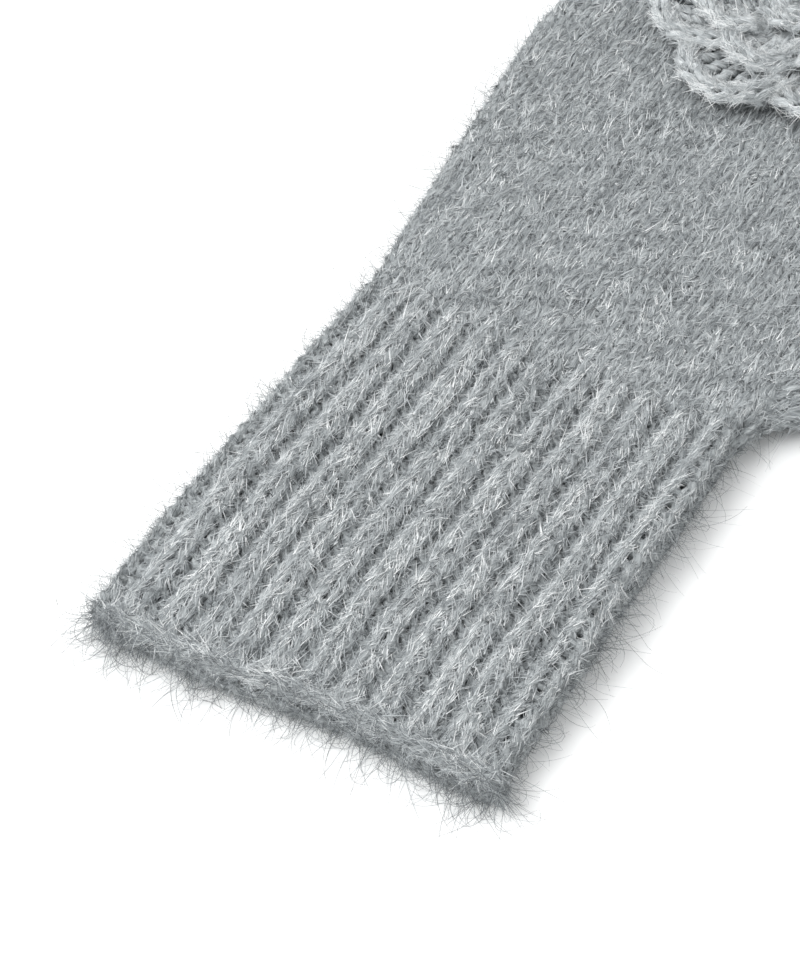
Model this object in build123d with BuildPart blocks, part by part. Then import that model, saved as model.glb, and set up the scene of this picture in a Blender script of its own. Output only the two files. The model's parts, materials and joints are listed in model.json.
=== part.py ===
"""A pair of knitted mittens: ribbed cuffs, stockinette hands, gusseted thumbs and crocheted flowers.

Both mittens lie flat, palm down, on z = 0 with their fingers towards +Y. The left mitten is on the -X
side with its thumb towards +X, and the right mitten is its mirror image. The origin is the middle of the
pair's footprint. All sizes are in millimetres.
"""

import os
from math import cos, radians, sin, sqrt

from build123d import *

# Flattened sizes of one mitten
opening_width = 88.0  # cuff, across the cast-off edge
wrist_width = 87.0  # cuff, where the ribs end
cuff_length = 98.0
cast_off_depth = 5.0  # the thicker edge round the cuff opening
hand_width = 108.0
hand_length = 187.0  # wrist to fingertip
widening_length = 90.0  # wrist to where the hand is at its full width
thickness = 13.0  # both layers of fabric and the gap for the hand
wall = 3.0  # one layer of fabric
edge_radius = min(5.5, thickness / 2 - 1)  # roll of the fabric round the side edges
side_bend_radius = 40.0  # where the sides turn at the wrist and at the full width

# Thumb
thumb_width = 36.0
thumb_taper = 3.0  # how much narrower the thumb is at its tip
thumb_length = 58.0  # beyond the gusset
thumb_angle = 16.0  # away from the fingers
thumb_fork = 64.0  # wrist to the fork between thumb and hand
fork_gap = 3.5  # between the hand's edge and the thumb
fork_radius = 2.5
gusset_start = 4.0  # radius of the gusset's narrow end
thumb_socket_angle = 60.0  # half of the arc that the thumb's end follows on the gusset

# Crocheted flower
flower_from_wrist = 112.0
flower_width = 62.0
outer_petals = 6
outer_petal_width = 23.0
inner_flower_width = 42.0
inner_petals = 5
inner_petal_width = 17.0
centre_width = 15.0
petal_layer = 3.5  # height of one round of petals
centre_height = 4.0
centre_roundness = 0.7  # share of its height that is rounded
stitch_circle = 22.0  # the flower is sewn on round this circle
stitch_length = 8.0

# Yarn
yarn = 2.0
yarn_end_length = 32.0
cinch_radius = 3.0  # the last stitches, drawn together at a tip

# Clearances and spacing
joint_gap = 0.3  # between pieces that move apart
knuckle_margin = 4.0  # knuckle line to the nearest petal
thumbs_apart = 60.0  # between the two thumbs, so that both can swing out

total_length = cuff_length + hand_length
half_hand = hand_width / 2
knuckle_line = cuff_length + flower_from_wrist - flower_width / 2 - knuckle_margin
flower_y = cuff_length + flower_from_wrist
cavity_height = thickness - 2 * wall

# The thumb swings about an upright line through the middle of the gusset's round end.
half_thumb = thumb_width / 2
socket_radius = half_thumb / sin(radians(thumb_socket_angle))
thumb_across = (cos(radians(thumb_angle)), -sin(radians(thumb_angle)))
thumb_along = (sin(radians(thumb_angle)), cos(radians(thumb_angle)))
corner_reach = sqrt(socket_radius**2 - half_thumb**2)
fork = (half_hand + fork_gap, cuff_length + thumb_fork)
thumb_pivot = tuple(
    fork[i] + half_thumb * thumb_across[i] - corner_reach * thumb_along[i] for i in range(2)
)
thumb_tip_radius = half_thumb - thumb_taper / 2
thumb_reach = socket_radius + thumb_length
thumb_side = thumb_pivot[0] + thumb_along[0] * (thumb_reach - thumb_tip_radius) + thumb_tip_radius

# Where the left mitten lies: its own origin is the middle of its cuff opening.
pair_spacing = 2 * thumb_side + thumbs_apart
left_x = -pair_spacing / 2
left_y = -total_length / 2
mitten = Plane(origin=(left_x, left_y, 0))
thumb_plane = Plane(
    origin=(left_x + thumb_pivot[0], left_y + thumb_pivot[1], 0),
    x_dir=(thumb_across[0], thumb_across[1], 0),
    z_dir=(0, 0, 1),
)
flower_plane = Plane(origin=(left_x, left_y + flower_y, thickness))

os.makedirs("parts", exist_ok=True)


def save_pair(name, part):
    """Writes the left mitten's piece, and its mirror image for the right mitten."""
    part.label = f"left_{name}"
    export_step(part, f"parts/left_{name}.step")
    with BuildPart() as twin:
        add(part)
        mirror(about=Plane.YZ, mode=Mode.REPLACE)
    twin.part.label = f"right_{name}"
    export_step(twin.part, f"parts/right_{name}.step")


def top_and_bottom_edges(part, keep):
    """The rims of the upper and lower faces, those that keep(edge) says."""
    faces = part.faces().filter_by(Axis.Z).sort_by(Axis.Z)
    edges = faces[0].edges() + faces[-1].edges()
    return edges.filter_by(keep)


# The gusset seen from above: it grows out of the wrist to a round end under the thumb.
with BuildSketch() as gusset_outline:
    with Locations(thumb_pivot):
        Circle(socket_radius)
    with Locations((wrist_width / 2 - 2 * gusset_start, cuff_length + 2 * gusset_start)):
        Circle(gusset_start)
    make_hull()

# Cuff, hand, gusset and rounded finger end, seen from above, as one face.
shoulder = cuff_length + widening_length
tip_start = total_length - half_hand
with BuildSketch() as outline:
    with BuildLine():
        right_side = Polyline(
            (0, 0),
            (opening_width / 2, 0),
            (wrist_width / 2, cuff_length),
            (half_hand, shoulder),
            (half_hand, tip_start),
        )
        ThreePointArc(right_side @ 1, (0, total_length), (-half_hand, tip_start))
        Polyline(
            (-half_hand, tip_start),
            (-half_hand, shoulder),
            (-wrist_width / 2, cuff_length),
            (-opening_width / 2, 0),
            (0, 0),
        )
    make_face()
    side_bends = outline.vertices().filter_by(
        lambda corner: corner.Y in (cuff_length, shoulder)
    )
    fillet(side_bends, side_bend_radius)
    add(gusset_outline.sketch)
    fork_corner = outline.vertices().sort_by_distance(fork)[0]
    fillet(fork_corner, fork_radius)

# The space for the hand follows the outline, one layer of fabric further in, and is open at the cuff.
with BuildSketch() as hollow:
    add(outline.sketch)
    offset(amount=-wall, mode=Mode.REPLACE)
    Rectangle(opening_width - 2 * wall, 4 * wall)

# The whole shell is made once, and the pieces are cut from it.
with BuildPart() as shell:
    with BuildSketch(mitten):
        add(outline.sketch)
    extrude(amount=thickness)
    fillet(top_and_bottom_edges(shell, lambda edge: edge.center().Y > left_y + wall), edge_radius)
    with BuildSketch(mitten.offset(wall)):
        add(hollow.sketch)
    extrude(amount=cavity_height, mode=Mode.SUBTRACT)


def band(low, high, left=-2 * hand_width, right=2 * hand_width):
    """The stretch between two distances from the opening, and between two sides."""
    with BuildSketch(mitten) as stretch:
        with Locations(((left + right) / 2, (low + high) / 2)):
            Rectangle(right - left, high - low)
    return stretch.sketch


half_gap = joint_gap / 2
hand_start = cuff_length + half_gap
hand_end = knuckle_line - half_gap

with BuildPart() as cuff_cast_off:
    add(shell.part)
    extrude(band(0, cast_off_depth), amount=thickness, mode=Mode.INTERSECT)
save_pair("cuff_cast_off", cuff_cast_off.part)

with BuildPart() as cuff_ribbing:
    add(shell.part)
    extrude(band(cast_off_depth, cuff_length - half_gap), amount=thickness, mode=Mode.INTERSECT)
save_pair("cuff_ribbing", cuff_ribbing.part)

# The hand and the gusset meet along a line up from the side of the wrist.
with BuildPart() as hand:
    add(shell.part)
    extrude(
        band(hand_start, hand_end, right=wrist_width / 2), amount=thickness, mode=Mode.INTERSECT
    )
save_pair("hand", hand.part)

with BuildPart() as thumb_gusset:
    add(shell.part)
    extrude(
        band(hand_start, hand_end, left=wrist_width / 2), amount=thickness, mode=Mode.INTERSECT
    )
    with BuildSketch(thumb_plane.offset(wall)):
        with Locations((0, socket_radius / 2)):
            Rectangle(thumb_width - 2 * wall, 2 * socket_radius)
    extrude(amount=cavity_height, mode=Mode.SUBTRACT)
save_pair("thumb_gusset", thumb_gusset.part)

with BuildPart() as finger_pocket:
    add(shell.part)
    extrude(
        band(knuckle_line + half_gap, total_length + wall), amount=thickness, mode=Mode.INTERSECT
    )
save_pair("finger_pocket", finger_pocket.part)

# The thumb, along its own Y, tapers from the gusset's width to its tip.
with BuildSketch() as thumb_outline:
    with Locations((0, corner_reach - joint_gap)):
        Circle(half_thumb)
    with Locations((0, thumb_reach - thumb_tip_radius)):
        Circle(thumb_tip_radius)
    make_hull()

with BuildSketch() as thumb_hollow:
    add(thumb_outline.sketch)
    offset(amount=-wall, mode=Mode.REPLACE)
    with Locations((0, corner_reach)):
        Rectangle(thumb_width - 2 * wall, 2 * socket_radius)


def beyond_socket(edge):
    """True for an edge of the thumb's outline, and false for its end against the gusset."""
    middle = thumb_plane.to_local_coords(edge.center())
    return middle.Y > socket_radius + wall


with BuildPart() as thumb:
    with BuildSketch(thumb_plane):
        add(thumb_outline.sketch)
        Circle(socket_radius + joint_gap, mode=Mode.SUBTRACT)
    extrude(amount=thickness)
    fillet(top_and_bottom_edges(thumb, beyond_socket), edge_radius)
    with BuildSketch(thumb_plane.offset(wall)):
        add(thumb_hollow.sketch)
    extrude(amount=cavity_height, mode=Mode.SUBTRACT)
save_pair("thumb", thumb.part)


def cinch(plane):
    """The last stitches of a tip, drawn into a small ring of yarn that faces the plane's normal."""
    with BuildSketch(plane) as ring:
        Circle(cinch_radius)
        Circle(cinch_radius - yarn / 2, mode=Mode.SUBTRACT)
    return ring.sketch


with BuildPart() as tip_cinch:
    tip = mitten.from_local_coords(Vector(0, total_length, thickness / 2))
    extrude(cinch(Plane(origin=tip, z_dir=(0, 1, 0))), amount=yarn / 2)
save_pair("tip_cinch", tip_cinch.part)

with BuildPart() as thumb_cinch:
    thumb_end = thumb_plane.from_local_coords(Vector(0, thumb_reach, thickness / 2))
    extrude(cinch(Plane(origin=thumb_end, z_dir=(*thumb_along, 0))), amount=yarn / 2)
save_pair("thumb_cinch", thumb_cinch.part)


def petals(height, count, width, petal_width, first_angle):
    """A scalloped disc: a round of petals crocheted into one another."""
    petal_circle = (width - petal_width) / 2
    with BuildSketch(flower_plane.offset(height)) as scallops:
        with PolarLocations(petal_circle, count, first_angle):
            Circle(petal_width / 2)
        Circle(petal_circle)
    return scallops.sketch


with BuildPart() as flower_outer_petals:
    extrude(petals(0, outer_petals, flower_width, outer_petal_width, 15), amount=petal_layer)
save_pair("flower_outer_petals", flower_outer_petals.part)

with BuildPart() as flower_inner_petals:
    extrude(
        petals(petal_layer, inner_petals, inner_flower_width, inner_petal_width, 50),
        amount=petal_layer,
    )
save_pair("flower_inner_petals", flower_inner_petals.part)

with BuildPart() as flower_centre:
    with BuildSketch(flower_plane.offset(2 * petal_layer)):
        Circle(centre_width / 2)
    extrude(amount=centre_height)
    fillet(flower_centre.faces().sort_by(Axis.Z)[-1].edges(), centre_height * centre_roundness)
save_pair("flower_centre", flower_centre.part)

# The sewing stitches that hold the flower show inside, under the back of the hand.
with BuildPart() as flower_stitches:
    with BuildSketch(flower_plane.offset(-wall - yarn / 2)):
        with PolarLocations(stitch_circle / 2, outer_petals):
            SlotOverall(stitch_length, yarn, rotation=90)
    extrude(amount=yarn / 2)
save_pair("flower_stitches", flower_stitches.part)


def yarn_end(middle):
    """A woven-in end of yarn, lying along the inside of the palm."""
    with BuildSketch(Plane(origin=middle).offset(wall)) as strand:
        SlotOverall(yarn_end_length, yarn, rotation=90)
    return strand.sketch


with BuildPart() as cuff_yarn_end:
    middle = mitten.from_local_coords(Vector(-opening_width / 3, cuff_length / 4, 0))
    extrude(yarn_end(middle), amount=yarn / 2)
save_pair("cuff_yarn_end", cuff_yarn_end.part)

with BuildPart() as tip_yarn_end:
    middle = mitten.from_local_coords(Vector(0, total_length - yarn_end_length, 0))
    extrude(yarn_end(middle), amount=yarn / 2)
save_pair("tip_yarn_end", tip_yarn_end.part)

with BuildPart() as thumb_yarn_end:
    middle = thumb_plane.from_local_coords(Vector(0, thumb_reach - yarn_end_length, 0))
    extrude(yarn_end(middle), amount=yarn / 2)
save_pair("thumb_yarn_end", thumb_yarn_end.part)
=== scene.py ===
import functools
import json
import math

import bpy
import numpy as np
from bpy.props import FloatProperty, FloatVectorProperty, PointerProperty
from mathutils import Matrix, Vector


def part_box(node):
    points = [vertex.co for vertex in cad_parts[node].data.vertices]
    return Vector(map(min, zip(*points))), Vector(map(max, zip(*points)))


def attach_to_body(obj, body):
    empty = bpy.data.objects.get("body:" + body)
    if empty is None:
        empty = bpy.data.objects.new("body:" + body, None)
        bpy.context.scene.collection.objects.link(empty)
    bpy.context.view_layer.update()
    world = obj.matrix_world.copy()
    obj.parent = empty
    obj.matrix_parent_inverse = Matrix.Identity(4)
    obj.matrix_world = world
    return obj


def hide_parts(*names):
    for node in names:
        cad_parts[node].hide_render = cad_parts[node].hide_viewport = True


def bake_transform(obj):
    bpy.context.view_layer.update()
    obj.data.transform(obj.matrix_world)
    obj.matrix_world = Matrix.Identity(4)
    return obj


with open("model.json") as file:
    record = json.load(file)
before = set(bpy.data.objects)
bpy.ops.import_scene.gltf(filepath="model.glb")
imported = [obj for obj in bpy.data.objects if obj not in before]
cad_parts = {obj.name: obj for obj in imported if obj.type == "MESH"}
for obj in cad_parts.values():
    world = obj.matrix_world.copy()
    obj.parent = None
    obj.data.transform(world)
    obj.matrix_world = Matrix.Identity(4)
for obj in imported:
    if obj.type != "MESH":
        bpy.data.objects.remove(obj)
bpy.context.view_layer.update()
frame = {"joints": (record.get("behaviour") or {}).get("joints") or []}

# Brushed mohair mittens, made stitch by stitch: 1 by 1 ribbed cuffs with a chained cast-off edge,
# plain-knit hands, gusseted thumbs, crocheted flowers, and the loose fibres that brushing raises.
# All shapes are worked out for the left mitten, in millimetres from the middle of its cuff opening,
# and the right mitten mirrors it.

bl_info = {
    "name": "Knitted mittens",
    "version": (1, 0, 0),
    "blender": (4, 5, 0),
    "location": "View3D > Sidebar > Mittens",
    "description": "Knits a pair of brushed mohair mittens round their frame",
    "category": "Add Mesh",
}

MM = 0.001
QUARTER = math.pi / 2
SIDES = {"left": 1.0, "right": -1.0}


# ---------------------------------------------------------------- sizes
def corners(node):
    low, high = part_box(node)
    return np.array(low) / MM, np.array(high) / MM


edge_low, edge_high = corners("left_cuff_cast_off")
rib_low, rib_high = corners("left_cuff_ribbing")
pocket_low, pocket_high = corners("left_finger_pocket")
flower_low, flower_high = corners("left_flower_outer_petals")
inner_low, _ = corners("left_flower_inner_petals")
centre_low, _ = corners("left_flower_centre")
HOME = np.array(((edge_low[0] + edge_high[0]) / 2, edge_low[1]))
OPENING_HALF = (edge_high[0] - edge_low[0]) / 2
WRIST_HALF = OPENING_HALF - 0.5
HALF_HAND = (pocket_high[0] - pocket_low[0]) / 2
CUFF = rib_high[1] - HOME[1]
TOTAL = pocket_high[1] - HOME[1]
KNUCKLES = pocket_low[1] - HOME[1]
THICKNESS = pocket_high[2] - pocket_low[2]
FULL_WIDTH_AT = CUFF + 90  # where the hand stops widening
TIP_START = TOTAL - HALF_HAND  # where the rounded end starts
swing = next(joint for joint in frame["joints"] if joint["name"] == "left_thumb_swing")
PIVOT = np.array(swing["pos_m"][:2]) / MM - HOME
THUMB_LEAN = math.radians(16)
THUMB_ALONG = np.array((math.sin(THUMB_LEAN), math.cos(THUMB_LEAN)))
THUMB_REACH = 78.8  # pivot to the thumb's tip
THUMB_HALF, THUMB_TIP = 18.0, 16.5  # radii at the thumb's root and tip
THUMB_ROOT = 10.4  # pivot to the middle of the root's radius
THUMB_TIP_AT = THUMB_REACH - THUMB_TIP
GUSSET_POINT, GUSSET_ROUND = 4.0, 20.8  # radii at the gusset's lower end and at the pivot
GUSSET_START = np.array((WRIST_HALF - 8, CUFF + 8))
FLOWER = (flower_low[:2] + flower_high[:2]) / 2 - HOME
INSET = 2.0  # middle of the fabric to its outside
EDGE_ROLL = (THICKNESS - 4.7) / 2  # radius of the fabric's middle where it turns round a side
SPREAD = (QUARTER - 1) * EDGE_ROLL  # how far past the outline the fabric reaches, spread flat
UNDERSIDE = 2.45  # the surface that the mitten lies on to the middle of the lower layer


def unit(vectors):
    return vectors / (np.linalg.norm(vectors, axis=-1, keepdims=True) + 1e-9)


# ---------------------------------------------------------------- the fabric's shape
def half_width(y):
    """Half the mitten's width along its length, to the middle of the fabric."""
    stations = (0, CUFF, FULL_WIDTH_AT, TIP_START)
    return np.interp(y, stations, (OPENING_HALF, WRIST_HALF, HALF_HAND, HALF_HAND)) - INSET


def in_hand(x, y):
    """Distance inside the hand's outline, negative outside."""
    tip = HALF_HAND - INSET - np.hypot(x, y - TIP_START)
    return np.where(y > TIP_START, tip, half_width(y) - np.abs(x))


def in_taper(x, y, start, end, start_radius, end_radius):
    """Distance inside the outline of two discs and what their tangents enclose."""
    axis = np.subtract(end, start)
    length = np.hypot(*axis)
    axis = axis / length
    along = (x - start[0]) * axis[0] + (y - start[1]) * axis[1]
    across = np.abs((x - start[0]) * axis[1] - (y - start[1]) * axis[0])
    lean = (start_radius - end_radius) / length
    level = math.sqrt(1 - lean * lean)
    foot = along * level - across * lean
    flank = start_radius - (across * level + along * lean)
    near = start_radius - np.hypot(along, across)
    far = end_radius - np.hypot(along - length, across)
    return np.where(foot < 0, near, np.where(foot > length * level, far, flank))


def in_thumb(x, y):
    """Distance inside the outline of gusset and thumb."""
    gusset = in_taper(x, y, GUSSET_START, PIVOT, GUSSET_POINT - INSET, GUSSET_ROUND - INSET)
    start, end = PIVOT + THUMB_ALONG * THUMB_ROOT, PIVOT + THUMB_ALONG * THUMB_TIP_AT
    return np.maximum(gusset, in_taper(x, y, start, end, THUMB_HALF - INSET, THUMB_TIP - INSET))


def inside(x, y, soft=1.5):
    """Distance inside the whole mitten's outline, with soft inner corners."""
    a, b = in_hand(x, y), in_thumb(x, y)
    return np.maximum(a, b) + soft * np.log1p(np.exp(-np.abs(a - b) / soft))


def ripple(x, y, seed, size):
    """A smooth wandering number, mostly between -1 and 1, with bumps about size apart."""
    rng = np.random.default_rng(seed)
    total = 0
    for _ in range(5):
        turn, phase = rng.uniform(0, 2 * math.pi, 2)
        wave = rng.uniform(0.6, 1.5) * 2 * math.pi / size
        total = total + np.sin((x * math.cos(turn) + y * math.sin(turn)) * wave + phase)
    return total / 2.6


def roll(x, y):
    """Half the gap between the layers: pressed together at the opening, fuller in the hand."""
    full = np.interp(y, (0, 6, 26, CUFF - 8, CUFF + 30, TOTAL), (0.46, 0.56, 0.9, 0.92, 1.06, 1.0))
    return EDGE_ROLL * full * (1 + 0.05 * ripple(x, y, 3, 45))


def wrap(x, y, out, face):
    """From the fabric spread flat to the mitten: points, and normals that face outwards.

    x, y: on the flat; out: how far proud of the fabric's middle; face: 1 back of the hand, -1 palm.
    """
    step = 0.05
    depth = inside(x, y)
    slope_x = (inside(x + step, y) - inside(x - step, y)) / (2 * step)
    slope_y = (inside(x, y + step) - inside(x, y - step)) / (2 * step)
    slope_y = np.where(y < CUFF, 0, slope_y)
    steep = np.hypot(slope_x, slope_y) + 1e-9
    slope_x, slope_y = slope_x / steep, slope_y / steep
    radius = roll(x, y)
    turn = np.clip((depth + (QUARTER - 1) * radius) / radius, -QUARTER, QUARTER)
    shift = np.where(turn < QUARTER, radius * (1 - np.cos(turn)) - depth, 0)
    level, rise = np.cos(turn), face * np.sin(turn)
    normal = np.stack((-slope_x * level, -slope_y * level, rise), -1)
    height = UNDERSIDE + radius * (1 + rise)
    point = np.stack((x + shift * slope_x, y + shift * slope_y, height), -1)
    return point + normal * np.asarray(out)[..., None], normal


# ---------------------------------------------------------------- meshes
def to_row(points, side):
    """Millimetres on the left mitten to metres in the frame, mirrored for the right mitten.

    The opening lies a little askew, as a soft cuff does.
    """
    askew = np.clip(1 - points[..., 1] / 55, 0, 1.2) ** 1.5
    out = points.astype(float)
    out[..., 1] += askew * (0.062 * points[..., 0] + 0.7 * np.sin(points[..., 0] / 9 + 0.6))
    out[..., :2] += HOME
    out = out * MM
    out[..., 0] *= SIDES[side]
    return out


def make_mesh(name, points, faces, cells, material, side, attributes):
    """A mesh object from arrays. faces: four corners each, or three and -1; cells: their UVs."""
    faces = np.asarray(faces, np.int64)
    if SIDES[side] < 0:
        order = np.where(faces[:, 3:] < 0, (2, 1, 0, 3), (3, 2, 1, 0))
        faces = np.take_along_axis(faces, order, 1)
        cells = np.take_along_axis(cells, order[..., None], 1)
    used = faces >= 0
    counts = used.sum(1)
    mesh = bpy.data.meshes.new(name)
    mesh.vertices.add(len(points))
    mesh.vertices.foreach_set("co", to_row(points, side).astype(np.float32).ravel())
    mesh.loops.add(int(counts.sum()))
    mesh.loops.foreach_set("vertex_index", faces[used].astype(np.int32))
    mesh.polygons.add(len(faces))
    mesh.polygons.foreach_set("loop_start", np.r_[0, np.cumsum(counts)[:-1]].astype(np.int32))
    mesh.polygons.foreach_set("loop_total", counts.astype(np.int32))
    mesh.update(calc_edges=True)
    mesh.polygons.foreach_set("use_smooth", np.ones(len(faces), bool))
    layer = mesh.uv_layers.new(name="OFBake")
    layer.uv.foreach_set("vector", cells[used].astype(np.float32).ravel())
    for key, values in attributes.items():
        values = np.asarray(values, np.float32)
        kind, field = ("FLOAT_VECTOR", "vector") if values.ndim == 2 else ("FLOAT", "value")
        mesh.attributes.new(key, kind, "POINT").data.foreach_set(field, values.ravel())
    mesh.materials.append(material)
    piece = bpy.data.objects.new(name, mesh)
    bpy.context.scene.collection.objects.link(piece)
    return piece


def cell_places(count):
    """The side of a square grid with room for count cells, and each cell's place in it."""
    columns = math.ceil(math.sqrt(count))
    index = np.arange(count)
    return columns, np.stack((index % columns, index // columns), -1)


RING = 4  # sides of a strand


def tubes(points, normals, radius, joined=None):
    """Strands through rows of points: points, faces, UV cells and the yarn attribute.

    points: strands x samples x 3. joined: true where the next strand carries on from this one.
    The attribute holds how far along the yarn a point is, and where it is across the yarn.
    """
    count, samples = points.shape[:2]
    joined = np.zeros(count, bool) if joined is None else joined
    tangent = unit(np.gradient(points, axis=1))
    across = unit(np.cross(tangent, normals))
    up = np.cross(across, tangent)
    angle = np.arange(RING) * 2 * math.pi / RING + 0.25
    radius = np.broadcast_to(radius, (count, samples))[..., None]
    high, wide = radius * np.cos(angle), radius * np.sin(angle)
    ring = points[:, :, None] + high[..., None] * up[:, :, None]
    ring = ring + wide[..., None] * across[:, :, None]
    steps = np.linalg.norm(np.diff(points, axis=1), axis=-1)
    total = np.r_[0, np.cumsum(steps.sum(1))[:-1]]
    along = np.c_[np.zeros(count), np.cumsum(steps, 1)] + total[:, None]
    yarn = np.stack(np.broadcast_arrays(along[..., None], high, wide), -1).reshape(-1, 3)

    rings = np.arange(count)[:, None] * samples + np.arange(samples)
    follows = np.flatnonzero(joined[:-1])
    rings[follows, -1] = rings[follows + 1, 0]
    corner, after = np.arange(RING), (np.arange(RING) + 1) % RING
    low, top = rings[:, :-1, None] * RING, rings[:, 1:, None] * RING
    body = np.stack((low + corner, top + corner, top + after, low + after), -1).reshape(-1, 4)
    starts, ends = np.r_[True, ~joined[:-1]], np.r_[~joined[:-1], True]
    start_caps = rings[starts, :1] * RING + corner
    end_caps = rings[ends, -1:] * RING + corner[::-1]

    # One cell of the UV map to a strand, so that no two faces share a place on it.
    columns, place = cell_places(count)
    run, turn = np.meshgrid(np.arange(samples - 1), np.arange(RING), indexing="ij")
    square = ((0, 0), (1, 0), (1, 1), (0, 1))
    box = np.stack([np.stack((run + a, turn + b), -1) for a, b in square], -2)
    box = 0.04 + 0.92 * box / (samples - 1, RING)
    body_cells = ((place[:, None, None, None] + box) / columns).reshape(-1, 4, 2)
    cap = 0.03 * np.array(square)
    cap_cells = [(place[capped, None] + cap) / columns for capped in (starts, ends)]
    faces = np.concatenate((body, start_caps, end_caps))
    cells = np.concatenate((body_cells, *cap_cells))

    verts = ring.reshape(-1, 3)
    kept = np.zeros(len(verts), bool)
    kept[faces.ravel()] = True
    return verts[kept], (np.cumsum(kept) - 1)[faces], cells, yarn[kept]


# ---------------------------------------------------------------- stitches
RIB_STITCH = 3.73  # 24 stitches, or 12 ribs, across the flat cuff
HAND_STITCH = 3.45
COURSE = 3.05
CUFF_BLOCK = ((-12, 12), (0, 31))  # columns and rows of the ribbing
RIB_RELIEF = 1.15  # knit stitches stand this far above the middle and purl ones as far below
RIB_SQUEEZE = 0.42  # how much of its width a purl stitch gives up to the knit ones
CAST_OFF_DEPTH = 3.0


def loops(u, v, face, sign, place, course, rng, samples, lean=0.23, rise=0.78, depth=0.5):
    """The yarn's path through stitches that open towards the cuff.

    u: each stitch's left side, in stitches; v: the middle of its course, in mm; sign: 1 knit, -1
    purl, or a function of u; place(u, v, out, face): the fabric's points and normals.
    """
    t = np.linspace(0, 1, samples)[None]
    loose = np.sin(math.pi * t)
    jitter = rng.normal(0, 1, (3, len(u), 1))
    path_u = u[:, None] + t + lean * np.sin(4 * math.pi * t) + 0.05 * loose * jitter[0]
    path_v = v[:, None] + rise * course * np.cos(2 * math.pi * t) + 0.1 * course * loose * jitter[1]
    sign = sign(path_u) if callable(sign) else sign
    out = -depth * np.cos(4 * math.pi * t) * sign + 0.14 * loose * jitter[2]
    return place(path_u, path_v, out, face[:, None])


def block(columns, rows):
    """Every stitch of a block, row by row, on both faces: column, row, face."""
    axes = (1.0, -1.0), np.arange(*rows), np.arange(*columns)
    face, row, column = np.meshgrid(*axes, indexing="ij")
    return column.ravel().astype(float), row.ravel(), face.ravel()


def carries_on(column, row, face):
    """True where the next stitch in the list is the next one of the same row."""
    return np.r_[(np.diff(column) == 1) & (np.diff(row) == 0) & (np.diff(face) == 0), False]


def rib_sign(u):
    return np.cos(math.pi * (u - 0.5))


def place_rib(u, v, out, face):
    squeeze = RIB_SQUEEZE / math.pi * np.sin(math.pi * (u - 0.5))
    stretch = (half_width(v) + INSET) / OPENING_HALF
    x = RIB_STITCH * (u + squeeze) * stretch + 0.4 * ripple(u * RIB_STITCH, v, 11, 34)
    v = v + 0.6 * ripple(x, v, 12, 50)
    return wrap(x, v, out + RIB_RELIEF * rib_sign(u), face)


def place_plain(u, v, out, face):
    x = HAND_STITCH * u
    return wrap(x + 0.35 * ripple(x, v, 13, 30), v + 0.6 * ripple(x, v, 12, 50), out, face)


def knit_cuff(rng):
    column, row, face = block(*CUFF_BLOCK)
    y = CAST_OFF_DEPTH + (row + 0.5) * (CUFF - CAST_OFF_DEPTH) / CUFF_BLOCK[1][1]
    points, normals = loops(column, y, face, rib_sign, place_rib, COURSE, rng, 11, lean=0.2)
    return points, normals, carries_on(column, row, face)


def knit_plain(rng, low, high):
    """Plain knitting between two distances from the opening, without the gusset and thumb."""
    rows = [int(round((y - CUFF) / COURSE)) for y in (low, high)]
    column, row, face = block((-17, 17), rows)
    x, y = (column + 0.5) * HAND_STITCH, CUFF + (row + 0.5) * COURSE
    kept = in_hand(x, y) > 1.3 - SPREAD
    kept &= (x < 0) | (in_thumb(x + 4, y) < 0) | (in_hand(x, y) > 0.9)
    column, row, face, y = column[kept], row[kept], face[kept], y[kept]
    points, normals = loops(column, y, face, 1.0, place_plain, COURSE, rng, 9)
    return points, normals, carries_on(column, row, face)


@functools.lru_cache(None)
def thumb_spine():
    """Up the middle of gusset and thumb: distances from the pivot, points and directions."""
    run = PIVOT - GUSSET_START
    first_lean = math.atan2(run[0], run[1])
    distance = np.arange(-70, 90, 1.0)
    share = np.clip((distance + 22) / 40, 0, 1)
    lean = first_lean + (THUMB_LEAN - first_lean) * share * share * (3 - 2 * share)
    step = np.stack((np.sin(lean), np.cos(lean)), 1)
    line = np.cumsum(step, 0)
    return distance, line + PIVOT - line[70], step


def on_spine(across, along):
    distance, line, step = thumb_spine()
    x, y, step_x, step_y = (np.interp(along, distance, a) for a in (*line.T, *step.T))
    return x + across * step_y, y - across * step_x


def place_thumb(u, v, out, face):
    return wrap(*on_spine(u * HAND_STITCH, v), out, face)


def knit_thumb(rng):
    column, row, face = block((-8, 8), (-23, 28))
    along = (row + 0.5) * COURSE
    x, y = on_spine((column + 0.5) * HAND_STITCH, along)
    kept = (in_thumb(x, y) > 1.3 - SPREAD) & (in_hand(x, y) < -0.6)
    column, row, face, along = column[kept], row[kept], face[kept], along[kept]
    points, normals = loops(column, along, face, 1.0, place_thumb, COURSE, rng, 9)
    return points, normals, carries_on(column, row, face)


def column_of(line, rng, face=1.0, width=3.4):
    """One column of stitches along a line on the flat fabric, such as along a side."""
    x, y = line.T
    step = 0.05
    inward = np.stack(
        (inside(x + step, y) - inside(x - step, y), inside(x, y + step) - inside(x, y - step)), 1
    )
    inward /= np.linalg.norm(inward, axis=1, keepdims=True) + 1e-9
    gone = np.r_[0, np.cumsum(np.linalg.norm(np.diff(line, axis=0), axis=1))]
    count = max(int(gone[-1] / COURSE), 1)
    v = (np.arange(count) + 0.5) * gone[-1] / count

    def place(u, v, out, face):
        x, y, in_x, in_y = (np.interp(v, gone, a) for a in (*line.T, *inward.T))
        across = (u - 0.5) * width
        return wrap(x + in_x * across, y + in_y * across, out + 0.15, face)

    points, normals = loops(np.zeros(count), v, np.full(count, face), 1.0, place, COURSE, rng, 9)
    return points, normals, np.zeros(count, bool)


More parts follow.
